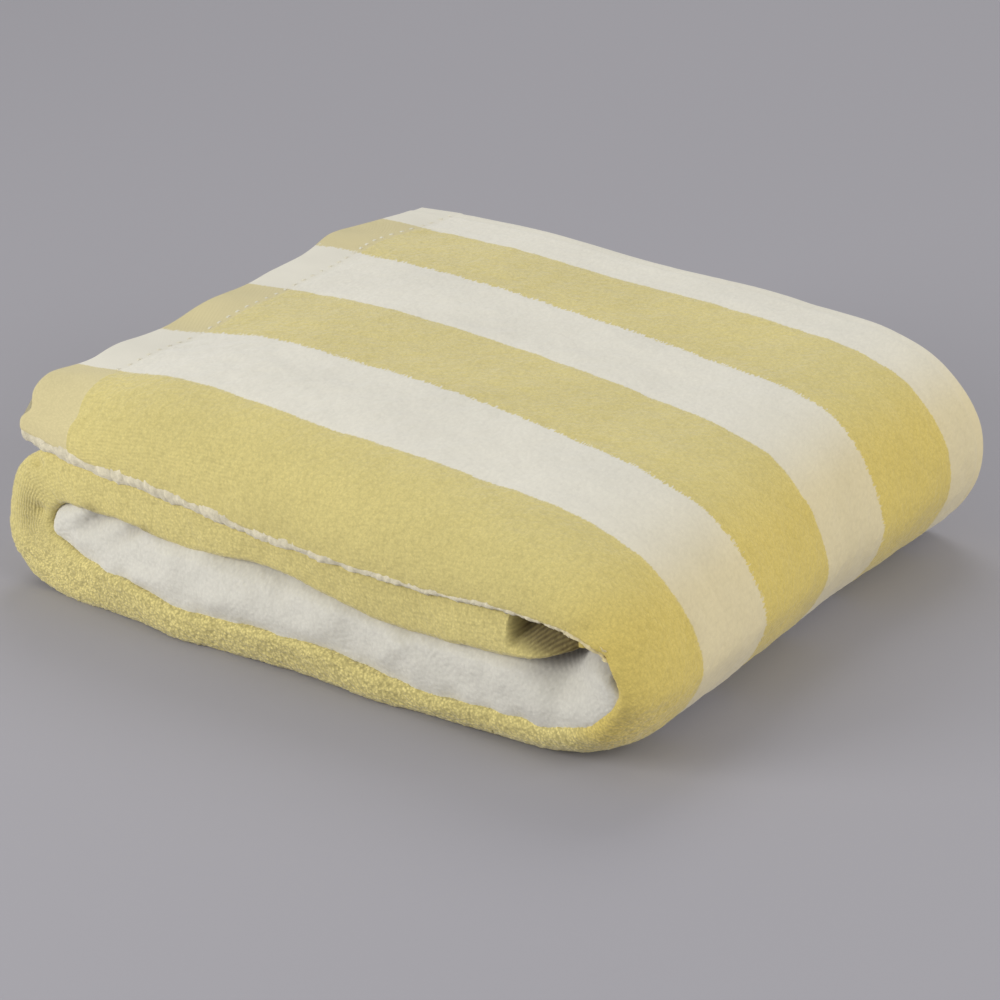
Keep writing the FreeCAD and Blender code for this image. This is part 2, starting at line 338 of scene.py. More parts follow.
FRONT_ROLL = slice(4, 8)
LIP_RADIUS = 7
RIM = 8

# How far the cloth curls on past straight down at its lip.
LIP_TURN = math.radians(115)

# Rows across the side hem, which is stepped and so needs them closer at its edges.
HEM_ROWS = np.array([0.0, 0.03, 0.1, 0.2, 0.36, 0.55, 0.75, 0.9, 1.0])

# How the five stripe lines wander off their straight places along the top and over the right fold.
DRIFT_X = (-165, -100, -20, 60, 110, 165)
DRIFT = (
    (-1, -1, -1, 5, 11, 11),
    (-2, 6, 8, 8, 6, 6),
    (7, 9, 12, 12, 10, 10),
    (8, 10, 10, 10, 8, 4),
    (6, 3, 3, 8, 10, 8),
)

# The bands between a sheet's edges, counted from the back: the side hem, white and yellow in turn, and
# the front stripe.
SIDE_BAND = ((0, 1),)
WHITE_BANDS = ((1, 2), (3, 4), (5, 6))
YELLOW_BANDS = ((2, 3), (4, 5))
FRONT_BAND = ((6, 7),)
WHITE_AND_SIDE_BANDS = ((0, 2), (3, 4), (5, 6))
BEHIND_FRONT = ((0, 6),)
WHOLE_WIDTH = ((0, 7),)


def profile(depth, run, front, back, lip):
    """Across the cloth at one station: y and depth under the face, from the back edge to the front lip."""
    turn = np.linspace(0, math.pi / 2, 50)[1:]
    curl = np.linspace(0, LIP_TURN, 16)[1:]
    drop = depth - lip
    y = np.concatenate([
        [back, front + run],
        front + run * (1 - np.sin(turn)),
        front + lip * (1 - np.cos(curl)),
    ])
    n = np.concatenate([
        [0.0, 0.0],
        drop * (1 - np.cos(turn)),
        drop + lip * np.sin(curl),
    ])
    return y, n


def spread(knots, row_steps):
    """Rows across the cloth, evenly spaced within each band, and the row at each band's edge."""
    typical = np.median(np.diff(knots, axis=1), axis=0)
    shares = [HEM_ROWS]
    for width, step in zip(typical[1:], row_steps):
        shares.append(np.linspace(0, 1, max(2, int(round(width / step))) + 1))
    edges = np.concatenate([[0], np.cumsum([len(share) - 1 for share in shares])])
    bands = []
    for k, share in enumerate(shares):
        start = knots[:, k : k + 1]
        stop = knots[:, k + 1 : k + 2]
        own = share if k == 0 else share[1:]
        bands.append(start + (stop - start) * own[None, :])
    return np.concatenate(bands, axis=1), edges


class Sheet:
    """One run of cloth as a grid: stations along it, rows across it from the back edge to the front lip."""

    def __init__(self, stations, row_steps, seed, under=False, drift=False):
        self.s, self.rows = spline(stations, ALONG)
        self.seed = seed
        self.rim = self.rows[:, RIM:]
        across = self.rows[:, LIP] - self.rows[:, FACE]
        depth = np.linalg.norm(across, axis=1)
        inward = across / depth[:, None]
        trim = np.zeros(len(self.rows))
        if under:
            depth, trim = self.show_rim(depth)
        curves, knots = self.trace(depth, trim, drift)
        self.length = knots[:, -1:]
        self.w, self.edges = spread(knots, row_steps)
        self.y = np.stack([np.interp(w, length, y) for w, (y, n, length) in zip(self.w, curves)])
        self.n = np.stack([np.interp(w, length, n) for w, (y, n, length) in zip(self.w, curves)])
        x = self.rows[:, :1] + inward[:, :1] * self.n
        z = self.rows[:, 1:2] + inward[:, 1:] * self.n
        self.point = np.stack([x, self.y, z], axis=-1)
        self.normal = facing_of(self.point)
        self.set_stripes(knots[:, 2:7])
        # Painted warm light: a warm tint painted on cloth that faces out to the right.
        self.painted_warm_light = smooth(-inward[:, :1], 0.1, 0.85) * np.ones_like(self.w)
        self.rib = np.zeros_like(self.w)
        self.tip = np.zeros_like(self.w)
        self.coarse = np.zeros_like(self.w)
        self.deep = np.zeros_like(self.w)

    def show_rim(self, depth):
        """Lowers and plumps the lip where the pale reverse shows past it, and trims it elsewhere."""
        rim = self.rows[:, RIM]
        shown = smooth(rim, 0.3, 0.9)
        plump = np.maximum(rim * 0.62, 1.2)
        self.rows[:, LIP_RADIUS] = self.rows[:, LIP_RADIUS] * (1 - shown) + plump * shown
        trim = 12.0 * (1 - smooth(rim, 0.9, 1.35))
        return depth + (rim - 0.4) * shown, trim

    def trace(self, depth, trim, drift):
        """The curve across each station, and how far along that curve the bands' edges lie."""
        curves = []
        knots = []
        for row, row_depth, row_trim in zip(self.rows, depth, trim):
            y, n = profile(row_depth, *row[FRONT_ROLL])
            length = np.concatenate([[0.0], np.cumsum(np.hypot(np.diff(y), np.diff(n)))])
            flat = slice(0, np.argmin(y) + 1)
            lines = []
            for line, wander in zip(LINES[::-1], DRIFT[::-1]):
                if drift:
                    line = line + np.interp(row[0], DRIFT_X, wander)
                lines.append(np.interp(-line, -y[flat], length[flat]))
            curves.append((y, n, length))
            knots.append([0.0, SIDE_HEM] + lines + [length[-1] - row_trim])
        return curves, np.array(knots)

    def set_stripes(self, lines):
        """Signed distance to the nearest stripe line, above zero in the yellow.

        The far edge of each white stripe is ragged, and the near one is clean.
        """
        gap = self.w[:, :, None] - lines[:, None, :]
        nearest = np.argmin(np.abs(gap), axis=2)
        away = np.take_along_axis(gap, nearest[:, :, None], 2)[:, :, 0]
        near_edge = nearest % 2 == 0
        self.stripe = away * np.where(near_edge, 1.0, -1.0)
        self.tuft = np.where(near_edge, 0.25, 1.0)

    def axes(self):
        return self.point[..., 0], self.point[..., 1], self.point[..., 2]

    def move(self, change):
        self.point = self.point + change
        self.normal = facing_of(self.point)

    def lifted(self, height):
        """The sheet's points moved out along their normals."""
        return self.point + self.normal * height[..., None]


# What the finish needs to know at each point, and how far the pattern is moved from one sheet to the next
# and on a sheet's inner side, so that no two look alike.
FINISH_KEYS = ("stripe", "tuft", "painted_warm_light", "rib", "tip", "coarse", "deep")
SHEET_SHIFT = 31.0
BACK_SHIFT = 13.0


def attributes_of(sheet, i, j, shift):
    grid = np.ix_(i, j)
    w = sheet.w[grid]
    s = np.broadcast_to(sheet.s[i][:, None], w.shape)
    made = {key: getattr(sheet, key)[grid] for key in FINISH_KEYS}
    made["cloth"] = np.stack([s, w, np.full(w.shape, shift)], axis=-1)
    return made


def cut(sheet, i0, i1, j0, j1, face, back, fine_back):
    """A closed piece of a sheet, between the offset grids face (outwards) and back (inwards).

    One side has all its rows, and the other, which doesn't show, only a few.
    """
    i = np.arange(i0, i1 + 1)
    j = np.arange(j0, j1 + 1)
    span = float(np.median(sheet.w[i, j1] - sheet.w[i, j0]))
    few = np.unique(np.round(np.linspace(j0, j1, max(2, int(span / HIDDEN) + 2))).astype(int))
    face_j, back_j = (few, j) if fine_back else (j, few)
    shift = SHEET_SHIFT * sheet.seed
    on_face = attributes_of(sheet, i, face_j, shift)
    on_back = attributes_of(sheet, i, back_j, shift + BACK_SHIFT)
    on_face["facing"] = facing_of(face)[np.ix_(i, face_j)]
    on_back["facing"] = -facing_of(back)[np.ix_(i, back_j)]
    return slab(face[np.ix_(i, face_j)], back[np.ix_(i, back_j)], on_face, on_back)


def stretch(sheet, i0, i1, bands, face, back, fine_back=False):
    """The closed pieces of a sheet's bands from one station to another."""
    edges = sheet.edges
    return join([cut(sheet, i0, i1, edges[a], edges[b], face, back, fine_back) for a, b in bands])


# ---------------------------------------------------------------- shaping the cloth


def drape_top(sheet):
    """The top's hem end bulges and waves, and the right fold's shoulder fills out towards the back."""
    x, y, z = sheet.axes()
    change = np.zeros_like(sheet.point)
    to_back = smooth(y, 60, 150)

    # The hem end stands out past the layers below, waves, and sags towards its front corner.
    hem = smooth(-x, 100, 166)
    bulge = 9 * bump(y, 90, 34) + 6 * smooth(-y, 104, 130) - 4 * bump(y, -144, 6) * bump(z, 92, 6)
    wave = 2 * bump(y, 90, 40) - 4 * bump(y, -62, 26) + 1.2 * noise(x / 40, y / 24.0, 0, 12)
    change[..., 0] -= hem * bulge
    change[..., 0] += hem * 1.6 * noise(0.0, y / 28.0, 3.0, 11)
    change[..., 2] += hem * wave
    change[..., 2] -= hem * 5 * smooth(-y, 60, 130) * smooth(sheet.n, 24, 8)

    # The shoulder rises towards the back, and so does the top beside it.
    shoulder = smooth(x, 60, 130) * smooth(z, 20, 70)
    beside = 3.0 * bump(x, 60, 50) * smooth(z, 60, 90) * to_back
    change[..., 2] += shoulder * 5.0 * smooth(y, -150, 150) + beside

    # The outside of the fold draws in along its middle and low at the back.
    drawn = 7.0 * bump(y, 38, 75) + 4.0 * to_back * smooth(z, 60, 35)
    change[..., 0] -= smooth(x, 120, 165) * drawn
    change[..., 2] += 0.9 * noise(x / 70, y / 55, z / 60, 13)
    sheet.move(change)


def crease(sheet, place, reach, deep):
    """Height of a small pinch in the cloth near one place."""
    away = [(sheet.point[..., k] - place[k]) / reach[k] for k in range(3)]
    return -deep * np.exp(-(away[0] ** 2 + away[1] ** 2 + away[2] ** 2))


def corner_tucks(sheet):
    """Two small pinches by the front corner of the right fold."""
    upper = crease(sheet, (141, -147, 66), (7, 9, 4), 2.2)
    lower = crease(sheet, (150, -146, 58), (5, 9, 4), 1.8)
    return upper + lower


def left_fold_tucks(sheet):
    """Two pinches where the left fold turns in at the front."""
    upper = crease(sheet, (-164, -149, 62), (4, 9, 2.5), 2.2)
    lower = crease(sheet, (-160, -149, 41), (4, 9, 3), 2.4)
    return upper + lower


# What is left of half the thickness at a rounded edge.
EDGE_BLUNT = 0.25


def rounded(distance, thick):
    """How far each face of a cloth edge draws in towards the middle of its thickness, near the edge."""
    half = thick / 2
    share = 1 - np.clip(distance / half, 0, 1)
    return (half - EDGE_BLUNT) * (1 - np.sqrt(np.maximum(1 - share ** 2, 0)))


# How far apart the loops stand on the face, the reverse, the inner plies and the white layer.
FACE_LOOPS = 1.9
REVERSE_LOOPS = 1.9
INNER_LOOPS = 2.4
WHITE_LOOPS = 1.8


def pile(sheet, coarse, seed):
    """Height of the pile over the face: soft unevenness, then loops, and a groove at each stripe line.

    The loops are larger where the pile is coarse. Their tips are kept for painted light on the loop tips
    and painted shade between the loops.
    """
    s = sheet.s[:, None]
    w = sheet.w
    height = 0.35 * noise(s / 9, w / 9, sheet.seed, seed)
    height = height + 0.18 * noise(s / 3.1, w / 3.1, sheet.seed, seed + 1)
    tips = loops(s, w, FACE_LOOPS, seed + 2) - 0.5
    sheet.tip = (0.25 + coarse) * tips
    sheet.coarse = np.minimum(coarse * 1.3, 1.0) * np.ones_like(w)
    height = height + (0.2 + 0.75 * coarse) * tips
    return height - 0.3 * bump(sheet.stripe, 0.0, 1.0)


def with_side_hem(sheet, height):
    """The pile's height, and the flat, sunken side hem beside it."""
    side = smooth(sheet.w, SIDE_HEM + 0.6, SIDE_HEM - 0.6)
    return height * (1 - 0.8 * side) - 0.5 * side


def end_hem_share(sheet):
    """1 on the end hem and 0 on the rest of the cloth."""
    return smooth(sheet.s[:, None], HEM_WIDTH + 1.0, HEM_WIDTH - 1.0)


# ---------------------------------------------------------------- pieces


def make_piece(name, solid, material, nodes):
    """A piece with its finish and the CAD nodes it stands for."""
    piece = bpy.data.objects.new(name, make_mesh(name, *solid))
    bpy.context.scene.collection.objects.link(piece)
    piece.data.materials.append(material)
    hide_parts(*nodes)
    return piece


def bend(piece, hinge, first, second, first_reach):
    """Bakes the piece's placement into its mesh."""
    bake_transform(piece)


def first_station(test):
    """The first station that passes a test."""
    return int(np.argmax(test))


# ---------------------------------------------------------------- materials


def new_material(name):
    material = bpy.data.materials.new(name)
    material.use_nodes = True
    return material, material.node_tree.nodes["Principled BSDF"]


class Builder:
    """Short calls for making shader nodes. Pattern sizes are repeats in each millimetre of cloth."""

    def __init__(self, tree):
        self.tree = tree

    def node(self, kind, **settings):
        made = self.tree.nodes.new(kind)
        for key, value in settings.items():
            setattr(made, key, value)
        return made

    def link(self, source, target):
        if isinstance(source, (int, float, tuple)):
            target.default_value = source
        else:
            self.tree.links.new(source, target)

    def attribute(self, name, output="Fac"):
        return self.node("ShaderNodeAttribute", attribute_name=name).outputs[output]

    def math(self, operation, a, b=0.0):
        made = self.node("ShaderNodeMath", operation=operation)
        self.link(a, made.inputs[0])
        self.link(b, made.inputs[1])
        return made.outputs[0]

    def separate(self, vector, axis):
        made = self.node("ShaderNodeSeparateXYZ")
        self.link(vector, made.inputs[0])
        return made.outputs[axis]

    def scaled(self, vector, repeats):
        made = self.node("ShaderNodeVectorMath", operation="MULTIPLY")
        self.link(vector, made.inputs[0])
        made.inputs[1].default_value = (repeats[0], repeats[1], 1.0)
        return made.outputs[0]

    def noise(self, vector, repeats, detail=2.0, rough=0.5):
        made = self.node("ShaderNodeTexNoise")
        self.link(self.scaled(vector, repeats), made.inputs["Vector"])
        made.inputs["Scale"].default_value = 1.0
        made.inputs["Detail"].default_value = detail
        made.inputs["Roughness"].default_value = rough
        return made.outputs["Fac"]

    def cells(self, vector, repeats):
        made = self.node("ShaderNodeTexVoronoi")
        self.link(self.scaled(vector, repeats), made.inputs["Vector"])
        made.inputs["Scale"].default_value = 1.0
        made.inputs["Randomness"].default_value = 1.0
        return made.outputs["Distance"]

    def span(self, value, a, b, c=0.0, d=1.0):
        """The value mapped from the range a to b onto the range c to d."""
        made = self.node("ShaderNodeMapRange")
        self.link(value, made.inputs["Value"])
        for key, number in zip(("From Min", "From Max", "To Min", "To Max"), (a, b, c, d)):
            made.inputs[key].default_value = number
        return made.outputs[0]

    def mix(self, share, first, second, kind="MIX"):
        made = self.node("ShaderNodeMix", data_type="RGBA", blend_type=kind)
        self.link(share, made.inputs["Factor"])
        self.link(first, made.inputs[6])
        self.link(second, made.inputs[7])
        return made.outputs[2]

    def tinted(self, share, colour, tint):
        """The colour, multiplied by a tint to the given share."""
        return self.mix(share, colour, self.mix(1.0, colour, tint, "MULTIPLY"))

    def shade(self, colour, factor):
        """The colour times a grey factor."""
        grey = self.node("ShaderNodeCombineColor")
        for k in range(3):
            self.link(factor, grey.inputs[k])
        return self.mix(1.0, colour, grey.outputs[0], "MULTIPLY")


YELLOW = (0.72, 0.615, 0.24, 1.0)
YELLOW_HEM = (0.70, 0.61, 0.33, 1.0)
WHITE = (0.79, 0.755, 0.645, 1.0)
CREAM = (0.78, 0.71, 0.52, 1.0)
SNOW = (0.72, 0.695, 0.61, 1.0)
THREAD = (0.78, 0.74, 0.60, 1.0)

# Painted light and shade: a warm tint painted on the outside of the right fold, where warm light falls on
# it, and a painted shade for the depth of a hollow.
WARM_LIGHT_WHITE = (0.92, 0.83, 0.60, 1.0)
WARM_LIGHT_YELLOW = (1.0, 0.92, 0.65, 1.0)
DEEP_SHADE = (0.24, 0.21, 0.23, 1.0)

# How far tufts lean over the line between two dyes, and half the width of the line itself.
TUFT_LEAN = 9.0
DYE_LINE = 0.45

# The height that the finest relief stands for, in metres.
RELIEF = 0.0007


def yellow_share(make, cloth):
    """1 in the yellow and 0 in the white, with tufts of one leaning over the other."""
    blades = make.noise(cloth, (0.85, 0.3), 2.0, 0.6)
    lean = make.math("MULTIPLY", make.attribute("tuft"), TUFT_LEAN)
    ragged = make.math("MULTIPLY", make.math("SUBTRACT", blades, 0.5), lean)
    return make.span(make.math("ADD", make.attribute("stripe"), ragged), -DYE_LINE, DYE_LINE)


def ribbing(make, cloth, wander):
    """Fine wandering ridges from -1 to 1, as strong as the cloth's ribs."""
    across = make.math("MULTIPLY", make.separate(cloth, 1), 3.6)
    phase = make.math("ADD", across, make.math("MULTIPLY", wander, 14.0))
    phase = make.math("ADD", phase, make.math("MULTIPLY", make.separate(cloth, 0), 0.5))
    return make.math("MULTIPLY", make.math("SINE", phase), make.attribute("rib"))


def painted_shade_share(make, cloth, wander):
    """How much painted shade the cloth takes in hollows, dents and valleys, broken into slanting streaks.
    """
    slant = make.math("ADD", make.separate(cloth, 0), make.separate(cloth, 1))
    phase = make.math("ADD", make.math("MULTIPLY", slant, 2.3), make.math("MULTIPLY", wander, 9.0))
    streak = make.span(make.math("SINE", phase), -1.0, 1.0, 0.78, 1.0)
    return make.math("MULTIPLY", make.attribute("deep"), streak)


def weave_height(make, cloth, speck):
    """Relief of a flat weave: threads crossing, a little uneven."""
    along = make.math("SINE", make.math("MULTIPLY", make.separate(cloth, 0), 7.0))
    across = make.math("SINE", make.math("MULTIPLY", make.separate(cloth, 1), 7.0))
    return make.math("ADD", make.math("MULTIPLY", along, across), make.math("MULTIPLY", speck, 0.5))


def pile_height(make, speck, curl, ridge):
    """Relief of pile: curled loops with stray fibres, over the ribs."""
    height = make.math("ADD", speck, make.math("MULTIPLY", curl, -0.8))
    return make.math("ADD", height, make.math("MULTIPLY", ridge, 0.3))


def cotton(name, yellow, white, grain, bump_height, weave=False, sheen=0.35):
    """Cotton in two dyed colours, or in one when both are the same: cut or looped pile, or a flat weave.

    White stripes show less of the grain than yellow ones.
    """
    material, shader = new_material(name)
    make = Builder(material.node_tree)
    cloth = make.attribute("cloth", "Vector")
    side = yellow_share(make, cloth)
    contrast = make.span(side, 0.0, 1.0, 0.35, 1.0)
    broad = make.noise(cloth, (0.02, 0.03))
    speck = make.noise(cloth, (1.3, 1.3), 3.0, 0.65)
    wander = make.noise(cloth, (0.08, 0.08), 1.0)
    curl = make.cells(cloth, (0.55, 0.55))
    knot = make.cells(cloth, (0.8, 0.8))
    ridge = ribbing(make, cloth, wander)

    fleck = make.math("MULTIPLY", make.span(speck, 0.3, 0.7, -grain, grain * 0.7), contrast)
    tone = make.math("ADD", make.span(broad, 0.3, 0.7, 0.965, 1.035), fleck)
    colour = make.shade(make.mix(side, white, yellow), tone)
    # Painted warm light on the outside of the right fold.
    colour = make.tinted(make.attribute("painted_warm_light"), colour, make.mix(side, WARM_LIGHT_WHITE, WARM_LIGHT_YELLOW))
    # Painted light on the ribs' ridges and painted shade in their grooves.
    colour = make.shade(colour, make.span(ridge, -1.0, 1.0, 0.88, 1.08))
    # Painted light on the loop tips and painted shade between the loops.
    colour = make.shade(colour, make.span(make.attribute("tip"), -0.5, 0.5, 0.78, 1.18))
    # Painted shade: the colour darkened towards DEEP_SHADE deep in dents, hollows and valleys.
    colour = make.tinted(painted_shade_share(make, cloth, wander), colour, DEEP_SHADE)
    # Painted light on the tops of coarse loops and painted shade between them.
    loop_light_and_shade = make.math("MULTIPLY", make.span(knot, 0.1, 0.75, 0.36, -0.19), make.attribute("coarse"))
    colour = make.shade(colour, make.math("ADD", loop_light_and_shade, 1.0))
    if weave:
        height = weave_height(make, cloth, speck)
    else:
        height = pile_height(make, speck, curl, ridge)
        # Painted shade in the hollows between the loops.
        hollow = make.math("MULTIPLY", make.span(curl, 0.25, 0.85, 0.0, grain * 0.9), contrast)
        colour = make.shade(colour, make.math("SUBTRACT", 1.0, hollow))

    make.link(colour, shader.inputs["Base Color"])
    make.link(make.span(speck, 0.2, 0.8, 0.86, 0.98), shader.inputs["Roughness"])
    shader.inputs["Specular IOR Level"].default_value = 0.18
    shader.inputs["Sheen Weight"].default_value = sheen
    shader.inputs["Sheen Roughness"].default_value = 0.45
    relief = make.node("ShaderNodeBump")
    relief.inputs["Distance"].default_value = RELIEF
    make.link(make.math("MULTIPLY", contrast, bump_height), relief.inputs["Strength"])
    make.link(height, relief.inputs["Height"])
    make.link(relief.outputs[0], shader.inputs["Normal"])
    return material


velour = cotton("velour_stripes", YELLOW, WHITE, grain=0.10, bump_height=0.5)
loop_pile = cotton("loop_pile_yellow", YELLOW, YELLOW, grain=0.14, bump_height=0.7)
reverse = cotton("terry_reverse", CREAM, CREAM, grain=0.10, bump_height=0.5)
snow = cotton("loop_pile_white", SNOW, SNOW, grain=0.08, bump_height=0.7)
hem_cloth = cotton("flat_weave", YELLOW_HEM, WHITE, grain=0.03, bump_height=0.25, weave=True, sheen=0.15)
thread = cotton("hem_thread", THREAD, THREAD, grain=0.03, bump_height=0.2, weave=True, sheen=0.1)

# ---------------------------------------------------------------- the top layer and the right fold

# Each stretch of the top and the right fold: its hinge, the bodies on either side, and the bend's reach.
STRETCHES = (
    ("top", "unfold_top", "top_layer", "fold_upper", TOP_BEND_REACH),
    ("right_fold_upper", "unfold_upper", "fold_upper", "fold_middle", BEND_REACH),
    ("right_fold_middle", "unfold_middle", "fold_middle", "fold_lower", BEND_REACH),
    ("right_fold_lower", "unfold_lower", "fold_lower", "base", BEND_REACH),
)

# The outer pieces of a stretch: how the piece's name ends, its bands, and its slot, finish and CAD node.
TOP_PIECES = (
    ("_side_hem_band", SIDE_BAND, "flat_weave_white", hem_cloth, "_side_hem"),
    ("_front_stripe", FRONT_BAND, "velour_yellow", velour, "_front_stripe_yellow"),
    ("_white_stripes", WHITE_BANDS, "velour_white", velour, "_stripes_white"),
    ("_yellow_stripes", YELLOW_BANDS, "velour_yellow", velour, "_stripes_yellow"),
)
FOLD_PIECES = (
    ("_side_hem_band", SIDE_BAND, "flat_weave_white", hem_cloth, "_side_hem"),
    ("_yellow_stripes", FRONT_BAND + YELLOW_BANDS, "velour_yellow", velour, "_yellow"),
    ("_white_stripes", WHITE_BANDS, "velour_white", velour, "_white"),
)


def outer_ply(sheet):
    """Both sides of the outer ply: pile on its face, ribs where its front rolls under, and a thin hem."""
    x, y, z = sheet.axes()
    front = smooth(-sheet.y, 100, 150)
    hem = end_hem_share(sheet) * np.ones_like(x)
    height = pile(sheet, front * (0.12 + 0.6 * smooth(z, 45, 12)), 21) * (1 - 0.85 * hem)
    sheet.tip = sheet.tip * (1 - hem)
    sheet.rib = smooth(sheet.n, 6, 22) * (1 - hem) * (0.3 + 0.4 * bump(x, 150, 25))
    sheet.rib = sheet.rib * (0.6 + 0.6 * noise(x / 30, y / 30, z / 30, 26))
    height = with_side_hem(sheet, height + corner_tucks(sheet))
    near_lip = smooth(sheet.w, sheet.length - 18, sheet.length - 2)
    thick = PLY * (1 - 0.55 * near_lip) * (1 - 0.45 * hem)
    draw = np.maximum(rounded(sheet.w, thick), rounded(sheet.s[:, None], thick))
    return sheet.lifted(height * (1 - smooth(draw, 0, 2)) - draw), sheet.lifted(draw - thick)


def under_ply(sheet):
    """Both sides of the ply under it, with loops inside and a pale rim proud of the outer ply's lip."""
    s = sheet.s[:, None]
    w = sheet.w
    near_lip = smooth(w, sheet.length - 30, sheet.length - 8)
    rim_start = sheet.length - 2.6 * sheet.rim - 1.2
    proud = smooth(w, rim_start, sheet.length - 1.9 * sheet.rim) * smooth(sheet.rim, 0.2, 1.2)
    sunk = 1.4 * (1 - smooth(sheet.rim, 0.4, 1.6))
    thin = 1 - 0.45 * end_hem_share(sheet)
    face_depth = (PLY + AIR) * thin * (1 - near_lip) + (2.0 - 2.1 * proud + sunk) * near_lip
    back_depth = 2 * (PLY + AIR) * thin * (1 - near_lip) + (4.6 - 1.2 * proud + sunk) * near_lip
    thick = back_depth - face_depth
    draw = np.maximum(rounded(w, thick), rounded(s, thick))
    tips = loops(s, w, REVERSE_LOOPS, 33) - 0.5
    tips = tips + 0.6 * noise(s / 1.7, w / 3.5, 4, 35)
    loop = (0.8 * tips + 0.6 * noise(s / 6, w / 6, 2, 34)) * smooth(draw, 1.5, 0)
    sheet.tip = 0.5 * tips
    tuck = corner_tucks(sheet)
    face = sheet.lifted(loop * near_lip + tuck - face_depth - draw)
    back = sheet.lifted(tuck - loop - back_depth + draw)
    return face, back


def fold_cuts(sheet):
    """The stations where the top and the right fold are cut, with both ends."""
    angle = np.degrees(np.arctan2(sheet.rows[:, 1] - FOLD_Z, sheet.rows[:, 0] - FOLD_X))
    past = np.arange(len(angle)) > first_station(sheet.rows[:, 0] > FOLD_X)
    inside = [first_station(past & (angle < stop)) for stop in CUT_ANGLES]
    return [0] + inside + [len(angle) - 1]


def build_end_hem(outer, hem_end, face, back):
    """The flat-woven hem at the end of the top layer, and the row of stitches that holds it."""
    white = stretch(outer, 0, hem_end, WHITE_AND_SIDE_BANDS, face, back)
    yellow = stretch(outer, 0, hem_end, YELLOW_BANDS + FRONT_BAND, face, back)
    on = smooth(np.sin(outer.w * 2 * math.pi / STITCH), -0.2, 0.5)
    thread_face = outer.lifted(0.95 * on - 0.6)
    thread_back = outer.lifted(np.full(on.shape, -1.5))
    stitches = stretch(outer, hem_end - 3, hem_end - 2, ((1, 6),), thread_face, thread_back)
    for name, solid, slot, material, node in (
        ("end_hem_white", white, "flat_weave_white", hem_cloth, "top_end_hem_white"),
        ("end_hem_yellow", yellow, "flat_weave_yellow", hem_cloth, "top_end_hem_yellow"),
        ("end_hem_stitches", stitches, "hem_thread", thread, "end_hem_stitching"),
    ):
        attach(make_piece(name, solid, material, [node]), "top_layer")


def build_wrap():
    """The top and the right fold: two plies, cut into a stretch for each hinge."""
    outer = Sheet(WRAP, SHOWN_ROWS, seed=1, drift=True)
    under = Sheet(WRAP, REVERSE_ROWS, seed=2, under=True, drift=True)
    drape_top(outer)
    drape_top(under)
    face, back = outer_ply(outer)
    under_face, under_back = under_ply(under)
    hem_end = first_station(outer.s > HEM_WIDTH)
    cuts = fold_cuts(outer)
    for (name, *hinge), i0, i1 in zip(STRETCHES, cuts, cuts[1:]):
        is_top = name == "top"
        start = hem_end if is_top else i0
        for ending, bands, slot, material, node in TOP_PIECES if is_top else FOLD_PIECES:
            solid = stretch(outer, start, i1, bands, face, back)
            bend(make_piece(name + ending, solid, material, [name + node]), *hinge)
        solid = stretch(under, i0, i1, WHOLE_WIDTH, under_face, under_back, fine_back=True)
        node = name + ("_lower_ply" if is_top else "_inner_ply")
        bend(make_piece(name + "_reverse", solid, reverse, [node]), *hinge)
    build_end_hem(outer, hem_end, face, back)


# ---------------------------------------------------------------- the bottom, the left fold and the core


def shape_base(sheet):
    """The front edges wander a little, and the core's end is dented where it rolls in."""
    x, y, z = sheet.axes()
    front = smooth(-sheet.y, 120, 150)
    upper = smooth(sheet.rows[:, 1:2], 55, 62)
    dent = upper * smooth(x, 101, 106) * smooth(z, 46, 60)
    change = np.zeros_like(sheet.point)
    change[..., 1] -= front * 1.3 * noise(x / 26, 3.0, z / 26, 42)
    change[..., 1] += 15 * dent * front
    change[..., 2] += front * smooth(sheet.n, 2, 12) * 1.6 * noise(x / 38, 0, z / 60, 41)
    sheet.move(change)


def shade_base(sheet):
    """Ribs and painted shade on the left fold, and painted shade in the core's dent and where the core
    tucks under.
    """
    x, y, z = sheet.axes()
    front = smooth(-sheet.y, 120, 150)
    upper = smooth(sheet.rows[:, 1:2], 55, 62)
    rib_and_shade_patch = bump(x, -166, 8) * bump(z, 40, 12)
    sheet.rib = front * (2.4 * rib_and_shade_patch + 0.25 * smooth(z, 40, 50))
    ceiling = np.interp(x, (100, 135, 145), (63, 58, 52))
    dent_shade = front * upper * smooth(x, 101, 105) * smooth(z, ceiling - 16, ceiling - 7)
    notch_shade = bump(x, -128, 4) * bump(z, 50, 3) + bump(x, -98, 4) * bump(z, 46, 3)
    # Painted shade: these masks darken the colour in the patch, the dent and the notches.
    sheet.deep = 0.36 * front * rib_and_shade_patch + dent_shade + 0.5 * front * notch_shade


def base_plies(sheet):
    """Both sides of the outer ply, then both sides of the ply inside it."""
    z = sheet.point[..., 2]
    front = smooth(-sheet.y, 120, 150)
    height = pile(sheet, front * (0.25 + 0.5 * smooth(z, 34, 14)), 44)
    height = with_side_hem(sheet, height + left_fold_tucks(sheet))
    nose = smooth(sheet.rows[:, :1], 112, 126) * (sheet.rows[:, 1:2] > 40)
    near_lip = smooth(sheet.w, sheet.length - 16, sheet.length - 5)
    thick = PLY * (1 - 0.55 * near_lip) * (1 - 0.5 * nose * front)
    draw = np.maximum(rounded(sheet.w, thick), rounded(sheet.s[-1] - sheet.s[:, None], thick))
    loop = 0.6 * (loops(sheet.s[:, None], sheet.w, INNER_LOOPS, 52) - 0.5) * smooth(draw, 1.5, 0)
    face = sheet.lifted(height * (1 - smooth(draw, 0, 2)) - draw)
    back = sheet.lifted(draw - thick)
    inner_face = sheet.lifted(-thick - AIR - draw)
    inner_back = sheet.lifted(draw - loop - 2 * thick - AIR)
    return face, back, inner_face, inner_back


